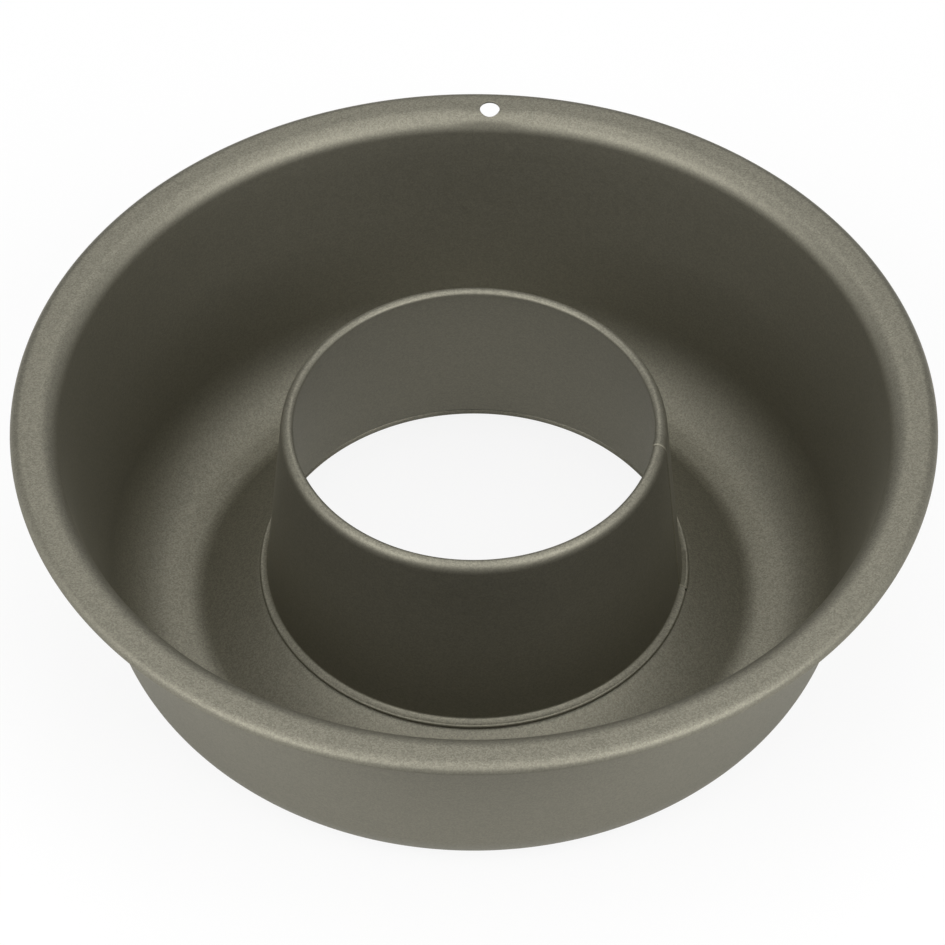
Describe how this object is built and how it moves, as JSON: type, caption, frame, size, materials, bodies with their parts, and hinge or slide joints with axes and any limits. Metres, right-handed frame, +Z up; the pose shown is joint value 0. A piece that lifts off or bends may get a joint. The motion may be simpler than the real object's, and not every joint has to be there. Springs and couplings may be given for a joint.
{
  "type": "ring cake pan",
  "caption": "Ring cake pan: drawn sheet body with a flat rim, turned-down lip, hanging hole and rounded trough, and a tapered open centre tube clinched into its floor.",
  "frame": {"origin": "on the centre line, level with the flat ring that the pan stands on", "axes": "+Z up along the centre line, out of the open side; +Y towards the rim's hanging hole, which lies about 2 degrees to its right seen from above"},
  "size_m": [0.26, 0.26, 0.0779],
  "materials": {
    "body_coating": "satin taupe non-stick coating with fine metal flake",
    "tube_coating": "satin taupe non-stick coating with fine metal flake"
  },
  "bodies": {
    "root": {"pan_body": "body_coating", "centre_tube": "tube_coating"}
  },
  "joints": []
}
